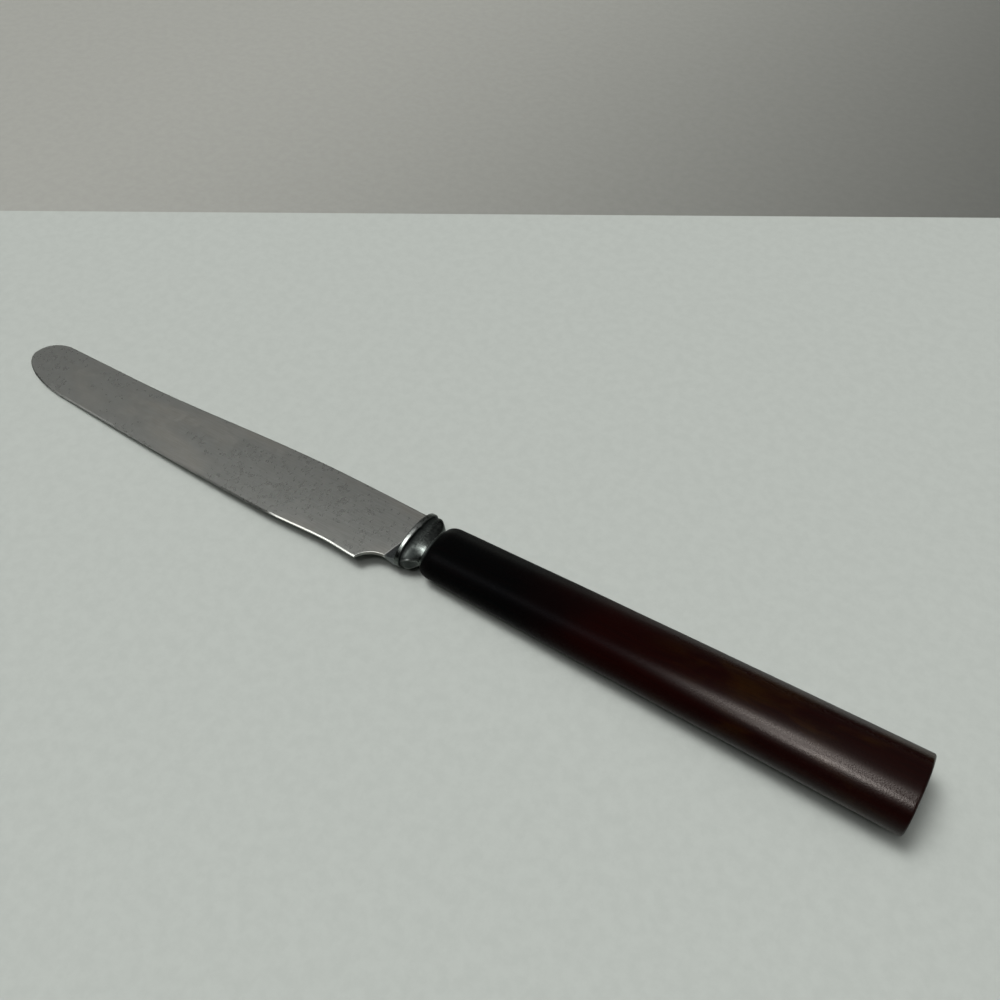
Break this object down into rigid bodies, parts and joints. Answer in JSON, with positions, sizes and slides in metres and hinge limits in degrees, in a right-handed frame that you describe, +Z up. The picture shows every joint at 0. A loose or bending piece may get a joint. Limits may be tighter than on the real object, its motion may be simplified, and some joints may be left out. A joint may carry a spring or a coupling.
{
  "type": "butter knife",
  "caption": "Round-ended table or butter knife with a flat tapered steel blade, a cast oval bolster and a tapered oval hardwood handle.",
  "frame": {"origin": "centre of the bounding box, on the surface that the knife lies on", "axes": "+X towards the butt of the handle, +Y towards the spine of the blade, +Z up, away from the surface"},
  "size_m": [0.24, 0.0208, 0.0136],
  "materials": {
    "blade_steel": "satin, worn, lightly patinated",
    "cast_metal": "dull cast, rubbed bright on the edges",
    "dark_hardwood": "polished",
    "cutlers_cement": "matte"
  },
  "bodies": {
    "root": {"blade": "blade_steel", "bolster": "cast_metal", "handle": "dark_hardwood", "tang_cement": "cutlers_cement"}
  },
  "joints": []
}
